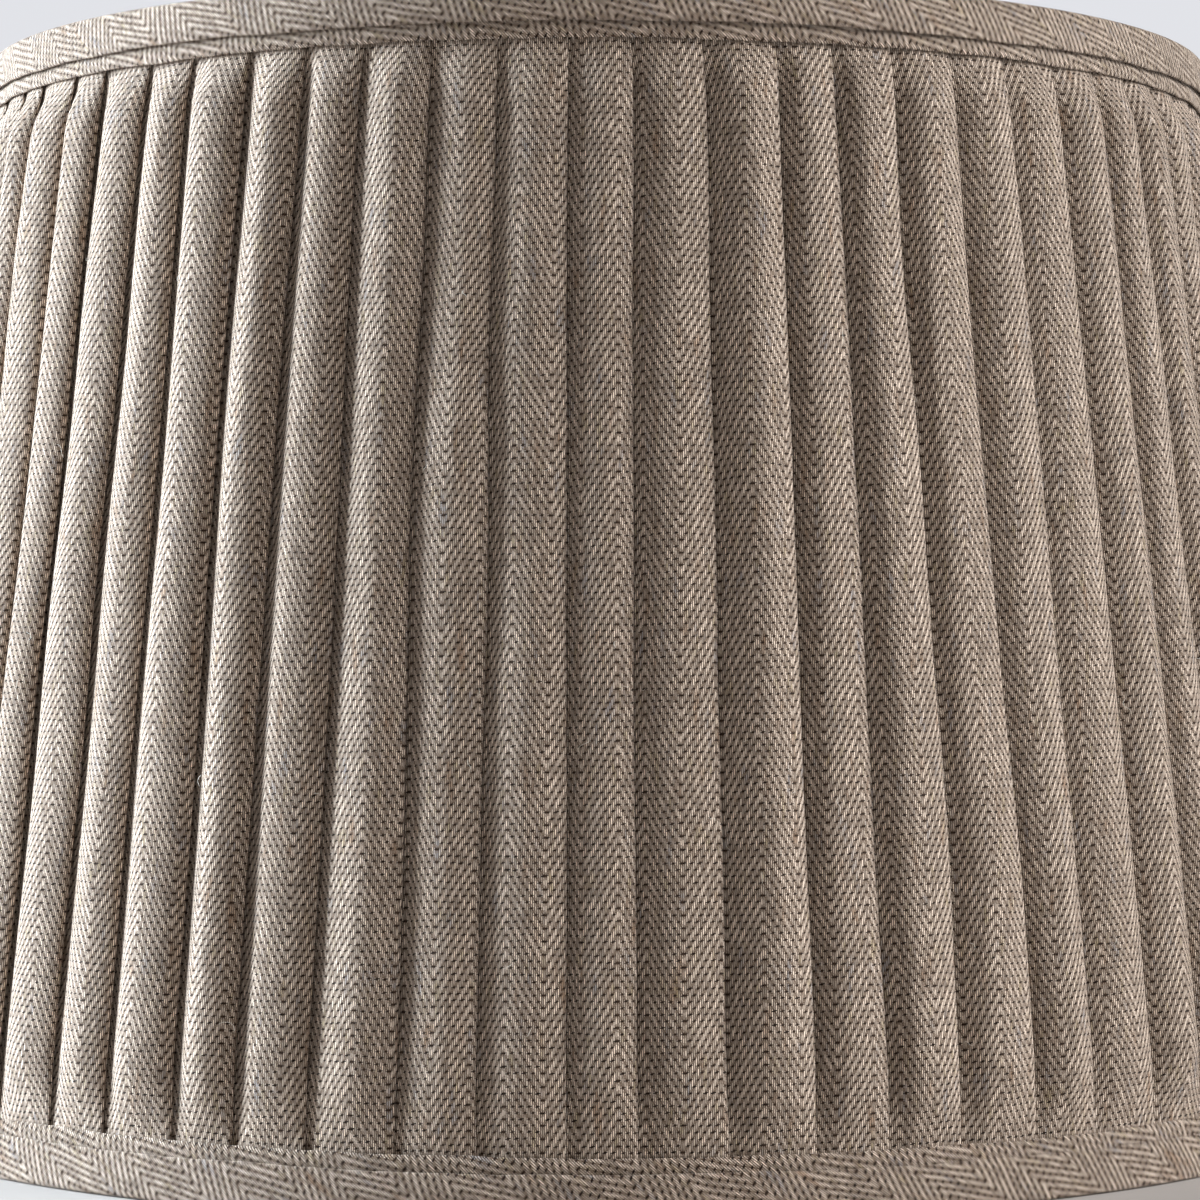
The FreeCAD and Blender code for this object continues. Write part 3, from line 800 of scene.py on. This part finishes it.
def curled_fibres():
    """Middle lines of the fibres: each turns as it goes, its heading a straight sum of a
    start and a steady curl with one sine on it, and it bows out from the cloth by a half
    sine that is highest at its middle."""
    t = np.linspace(0.0, 1.0, FIBRE_STEPS)[None, :]
    heading = loose.uniform(0.0, 2.0 * np.pi, (FIBRES, 1))
    curl = loose.normal(0.0, 1.5, (FIBRES, 1))
    kink_size = loose.normal(0.0, 0.6, (FIBRES, 1))
    kink = kink_size * np.sin(2.0 * np.pi * (t + loose.uniform(0, 1, (FIBRES, 1))))
    turn = heading + curl * t + kink
    long = loose.gamma(3.0, 1.0, (FIBRES, 1)).clip(1.2, 7.0) * MM
    x = np.cumsum(np.cos(turn), axis=1) / FIBRE_STEPS * long
    y = np.cumsum(np.sin(turn), axis=1) / FIBRE_STEPS * long
    z = 0.12 * MM + np.sin(np.pi * t) * long * loose.uniform(0.05, 0.22, (FIBRES, 1))
    parts = ((x, sideways), (y, upwards), (z, outwards))
    return root_point[:, None] + sum(amount[..., None] * way[:, None] for amount, way in parts)


middle = curled_fibres()
along_fibre = np.gradient(middle, axis=1)
along_fibre /= np.linalg.norm(along_fibre, axis=2, keepdims=True)
across_fibre = np.cross(along_fibre, outwards[:, None])
across_fibre /= np.linalg.norm(across_fibre, axis=2, keepdims=True)
above_fibre = np.cross(across_fibre, along_fibre)
fibre_turn = np.arange(FIBRE_SIDES) * 2.0 * np.pi / FIBRE_SIDES
thinning = (FIBRE_RADIUS * (1.0 - 0.75 * np.linspace(-1.0, 1.0, FIBRE_STEPS) ** 4))[None, :, None, None]
skin_across = across_fibre[:, :, None] * np.cos(fibre_turn)[:, None]
skin_above = above_fibre[:, :, None] * np.sin(fibre_turn)[:, None]
skin = middle[:, :, None] + thinning * (skin_across + skin_above)
number = np.arange(FIBRES * FIBRE_STEPS * FIBRE_SIDES).reshape(FIBRES, FIBRE_STEPS, FIBRE_SIDES)
round_on = np.roll(number, -1, axis=2)
walls = np.stack([number[:, :-1], number[:, 1:], round_on[:, 1:], round_on[:, :-1]], axis=-1)
walls = walls.reshape(-1, 4)
caps = np.concatenate([number[:, 0], number[:, -1, ::-1]])
fibre_mesh = bpy.data.meshes.new("stray_fibres")
fibre_mesh.from_pydata(skin.reshape(-1, 3), [], walls.tolist() + caps.tolist())
fibre_mesh.polygons.foreach_set("use_smooth", np.ones(len(fibre_mesh.polygons), dtype=bool))

pale_fibre, tree, shader = new_material("pale fibre", Roughness=0.7, Specular_IOR_Level=0.3)
place = tree.nodes.new("ShaderNodeTexCoord").outputs["Object"]
yarn_share = ramp(tree, cloud(tree, place, 160.0), 0.40, 0.60)
fibre_colour = blend(tree, yarn_share, (0.86, 0.81, 0.73, 1.0), (0.66, 0.58, 0.48, 1.0))
tree.links.new(fibre_colour, shader.inputs["Base Color"])
fibre_mesh.materials.append(pale_fibre)
fibres = in_scene("stray_fibres", fibre_mesh)
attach(fibres, "root")


# ---------------------------------------------------------------------------------------
# Studio: a plain pale floor, a strong cool light low at the left, a weaker one at the
# right, a little from the front, and a camera level with the middle of the shade.

studio_floor, tree, shader = new_material("pale floor", Roughness=0.7, Specular_IOR_Level=0.2)
place = tree.nodes.new("ShaderNodeTexCoord").outputs["Object"]
patchy = cloud(tree, place, 3.0, 3.0)
floor_colour = blend(tree, patchy, (0.43, 0.395, 0.37, 1.0), (0.49, 0.45, 0.42, 1.0))
tree.links.new(floor_colour, shader.inputs["Base Color"])
floor_mesh = bpy.data.meshes.new("studio_floor")
FLOOR = 6.0
floor_corners = [(x * FLOOR, y * FLOOR, 0.0) for x, y in ((-1, -1), (1, -1), (1, 1), (-1, 1))]
floor_mesh.from_pydata(floor_corners, [], [(0, 1, 2, 3)])
floor_mesh.materials.append(studio_floor)
floor = in_scene("studio_floor", floor_mesh)

world = bpy.data.worlds.new("studio")
world.use_nodes = True
tree = world.node_tree
room = tree.nodes["Background"]
room.inputs["Color"].default_value = (1.0, 0.95, 0.90, 1.0)
room.inputs["Strength"].default_value = 0.04
wall = tree.nodes.new("ShaderNodeBackground")
wall.inputs["Color"].default_value = (0.76, 0.77, 0.81, 1.0)
seen = tree.nodes.new("ShaderNodeMixShader")
tree.links.new(tree.nodes.new("ShaderNodeLightPath").outputs["Is Camera Ray"], seen.inputs[0])
tree.links.new(room.outputs[0], seen.inputs[1])
tree.links.new(wall.outputs[0], seen.inputs[2])
tree.links.new(seen.outputs[0], tree.nodes["World Output"].inputs["Surface"])
bpy.context.scene.world = world
bpy.context.scene.view_settings.view_transform = "Standard"

MIDDLE = Vector((0.0, 0.0, (FOOT_HEIGHT + HEAD_HEIGHT) / 2))


def far_light(name, round_shade, height, strength, spread, colour):
    """A broad light far off, so that the floor is lit evenly: its direction round the
    shade from the front and its height above the floor, in degrees, and how wide it
    looks from the shade, which softens its shadows."""
    lamp = bpy.data.lights.new(name, "SUN")
    lamp.energy = strength
    lamp.angle = np.radians(spread)
    lamp.color = colour
    turn, lift = np.radians((round_shade, height))
    towards = Vector((np.sin(turn) * np.cos(lift), -np.cos(turn) * np.cos(lift), np.sin(lift)))
    holder = in_scene(name, lamp)
    holder.location = MIDDLE + 3.0 * towards
    holder.rotation_euler = towards.to_track_quat("Z", "Y").to_euler()


far_light("window_left", -106.0, 14.0, 21.2, 40.0, (0.76, 0.885, 1.0))
far_light("wall_right", 86.0, 24.0, 5.6, 40.0, (0.93, 0.965, 1.0))
far_light("front_fill", -3.0, 35.0, 0.4, 50.0, (1.0, 0.93, 0.86))

camera = bpy.data.cameras.new("camera")
camera.lens = 105.0
camera.sensor_width = 36.0
camera.clip_start = 0.05
camera_stand = in_scene("camera", camera)
camera_stand.location = (0.001, -1.069, 0.151)
camera_stand.rotation_euler = (np.pi / 2, 0.0, 0.0)
bpy.context.scene.camera = camera_stand
